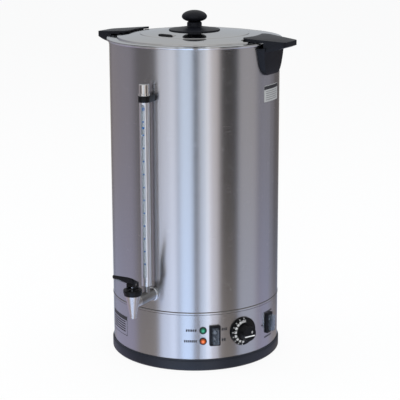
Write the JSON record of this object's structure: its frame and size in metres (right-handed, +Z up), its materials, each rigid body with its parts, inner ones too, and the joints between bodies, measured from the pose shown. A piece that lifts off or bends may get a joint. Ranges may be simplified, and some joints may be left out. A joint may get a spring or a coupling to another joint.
{
  "type": "hot water urn",
  "caption": "Tall double-skinned stainless hot water urn with domed lid, side handles, lever tap, level gauge, thermostat dial, rocker switches and indicator lamps.",
  "frame": {"origin": "middle of the base ring's underside, on the surface that the urn stands on", "axes": "+Z up along the urn's axis; -Y towards the tap and the level gauge; handles along +X and -X"},
  "size_m": [0.378, 0.4333, 0.613],
  "materials": {
    "brushed_sheet": "brushed stainless sheet, satin",
    "bright_steel": "satin turned stainless",
    "polished_steel": "polished stainless",
    "tank_steel": "fine satin stainless",
    "aluminium_plate": "plain milled",
    "zinc_steel": "bright zinc plated steel",
    "brass_fitting": "turned, plated",
    "black_plastic": "moulded, fine satin grain",
    "gloss_black": "moulded, semi gloss",
    "base_plastic": "moulded, satin",
    "pale_plastic": "moulded, plain",
    "silicone": "soft silicone",
    "dark_rubber": "soft rubber",
    "clear_boot": "clear flexible cover",
    "gauge_tube": "clear borosilicate",
    "green_lens": "translucent, glossy",
    "amber_lens": "translucent, glossy",
    "wool": "mineral wool blanket",
    "copper_wire": "insulated wire",
    "scale_strip": "pale strip with marks"
  },
  "bodies": {
    "urn": {"base_ring": "base_plastic", "base_pads": "dark_rubber", "base_plate": "zinc_steel", "base_screws": "zinc_steel", "support_posts": "zinc_steel", "control_skirt": "brushed_sheet", "seam_ring": "bright_steel", "outer_jacket": "brushed_sheet", "inner_tank": "tank_steel", "top_ring": "polished_steel", "insulation": "wool", "heat_spreader": "aluminium_plate", "heating_element": "zinc_steel", "boil_dry_cutout": "zinc_steel", "thermostat_body": "zinc_steel", "thermostat_probe": "brass_fitting", "main_switch_housing": "black_plastic", "main_switch_boot": "clear_boot", "boost_switch_housing": "black_plastic", "boost_switch_boot": "clear_boot", "lamp_bezels": "black_plastic", "power_lamp_lens": "green_lens", "heating_lamp_lens": "amber_lens", "cord_gland": "black_plastic", "gland_nut": "black_plastic", "terminal_block": "pale_plastic", "wiring": "copper_wire", "earth_stud": "brass_fitting", "handle_right": "black_plastic", "handle_left": "black_plastic", "handle_backing": "zinc_steel", "handle_screws": "zinc_steel", "tap_shank": "polished_steel", "shank_flange": "polished_steel", "shank_spacer": "tank_steel", "shank_seals": "silicone", "shank_nut": "brass_fitting", "tap_body": "bright_steel", "tap_bonnet": "gloss_black", "tap_spring": "polished_steel", "gauge_glass": "gauge_tube", "gauge_seals": "silicone", "gauge_guard": "bright_steel", "gauge_scale": "scale_strip", "gauge_clamp": "gloss_black", "clamp_screw": "zinc_steel"},
    "lid_seal": {"lid_seal": "silicone"},
    "lid": {"lid_shell": "brushed_sheet", "lid_knob": "gloss_black", "knob_screw": "zinc_steel"},
    "tap_stem": {"tap_stem": "polished_steel", "seat_cup": "silicone", "lever_pin": "polished_steel"},
    "tap_lever": {"tap_lever": "gloss_black"},
    "thermostat_dial": {"thermostat_dial": "gloss_black", "thermostat_shaft": "zinc_steel"},
    "main_rocker": {"main_rocker": "gloss_black"},
    "boost_rocker": {"boost_rocker": "gloss_black"},
    "gauge_washer": {"cap_washer": "silicone"},
    "gauge_cap": {"gauge_cap": "polished_steel"}
  },
  "joints": [
    {"name": "lid_lift", "type": "slide", "parent": "urn", "child": "lid_seal", "axis": [0, 0, 1], "range_m": [0, 0.12]},
    {"name": "lid_turn", "type": "hinge", "parent": "lid_seal", "child": "lid", "pos_m": [0, 0, 0.565], "axis": [0, 0, 1], "range_deg": [0, 45]},
    {"name": "tap_stem_lift", "type": "slide", "parent": "urn", "child": "tap_stem", "axis": [0, 0, 1], "range_m": [0, 0.00304], "stiffness_N_per_m": 1000, "springref_m": -0.004, "deforming": ["tap_spring"]},
    {"name": "tap_lever_tilt", "type": "hinge", "parent": "tap_stem", "child": "tap_lever", "pos_m": [0, -0.2127, 0.169], "axis": [1, 0, 0], "range_deg": [0, 30]},
    {"name": "thermostat_turn", "type": "hinge", "parent": "urn", "child": "thermostat_dial", "pos_m": [0.13859, -0.0694, 0.0651], "axis": [-0.8942, 0.4478, 0], "range_deg": [0, 270]},
    {"name": "main_rocker_tilt", "type": "hinge", "parent": "urn", "child": "main_rocker", "pos_m": [0.10056, -0.10859, 0.064], "axis": [0.7337, 0.6794, 0], "range_deg": [-16, 0]},
    {"name": "boost_rocker_tilt", "type": "hinge", "parent": "urn", "child": "boost_rocker", "pos_m": [0.148, 0, 0.064], "axis": [0, 1, 0], "range_deg": [-16, 0]},
    {"name": "gauge_cap_rise", "type": "slide", "parent": "urn", "child": "gauge_washer", "axis": [0, 0, 1], "range_m": [0, 0.0045]},
    {"name": "gauge_cap_turn", "type": "hinge", "parent": "gauge_washer", "child": "gauge_cap", "pos_m": [0, -0.1685, 0.49], "axis": [0, 0, 1], "range_deg": [0, 1080]}
  ],
  "couplings": [
    {"joint": "tap_lever_tilt", "follows": "tap_stem_lift", "rad_per_m": 172.4},
    {"joint": "gauge_cap_turn", "follows": "gauge_cap_rise", "rad_per_m": 4188.8}
  ]
}
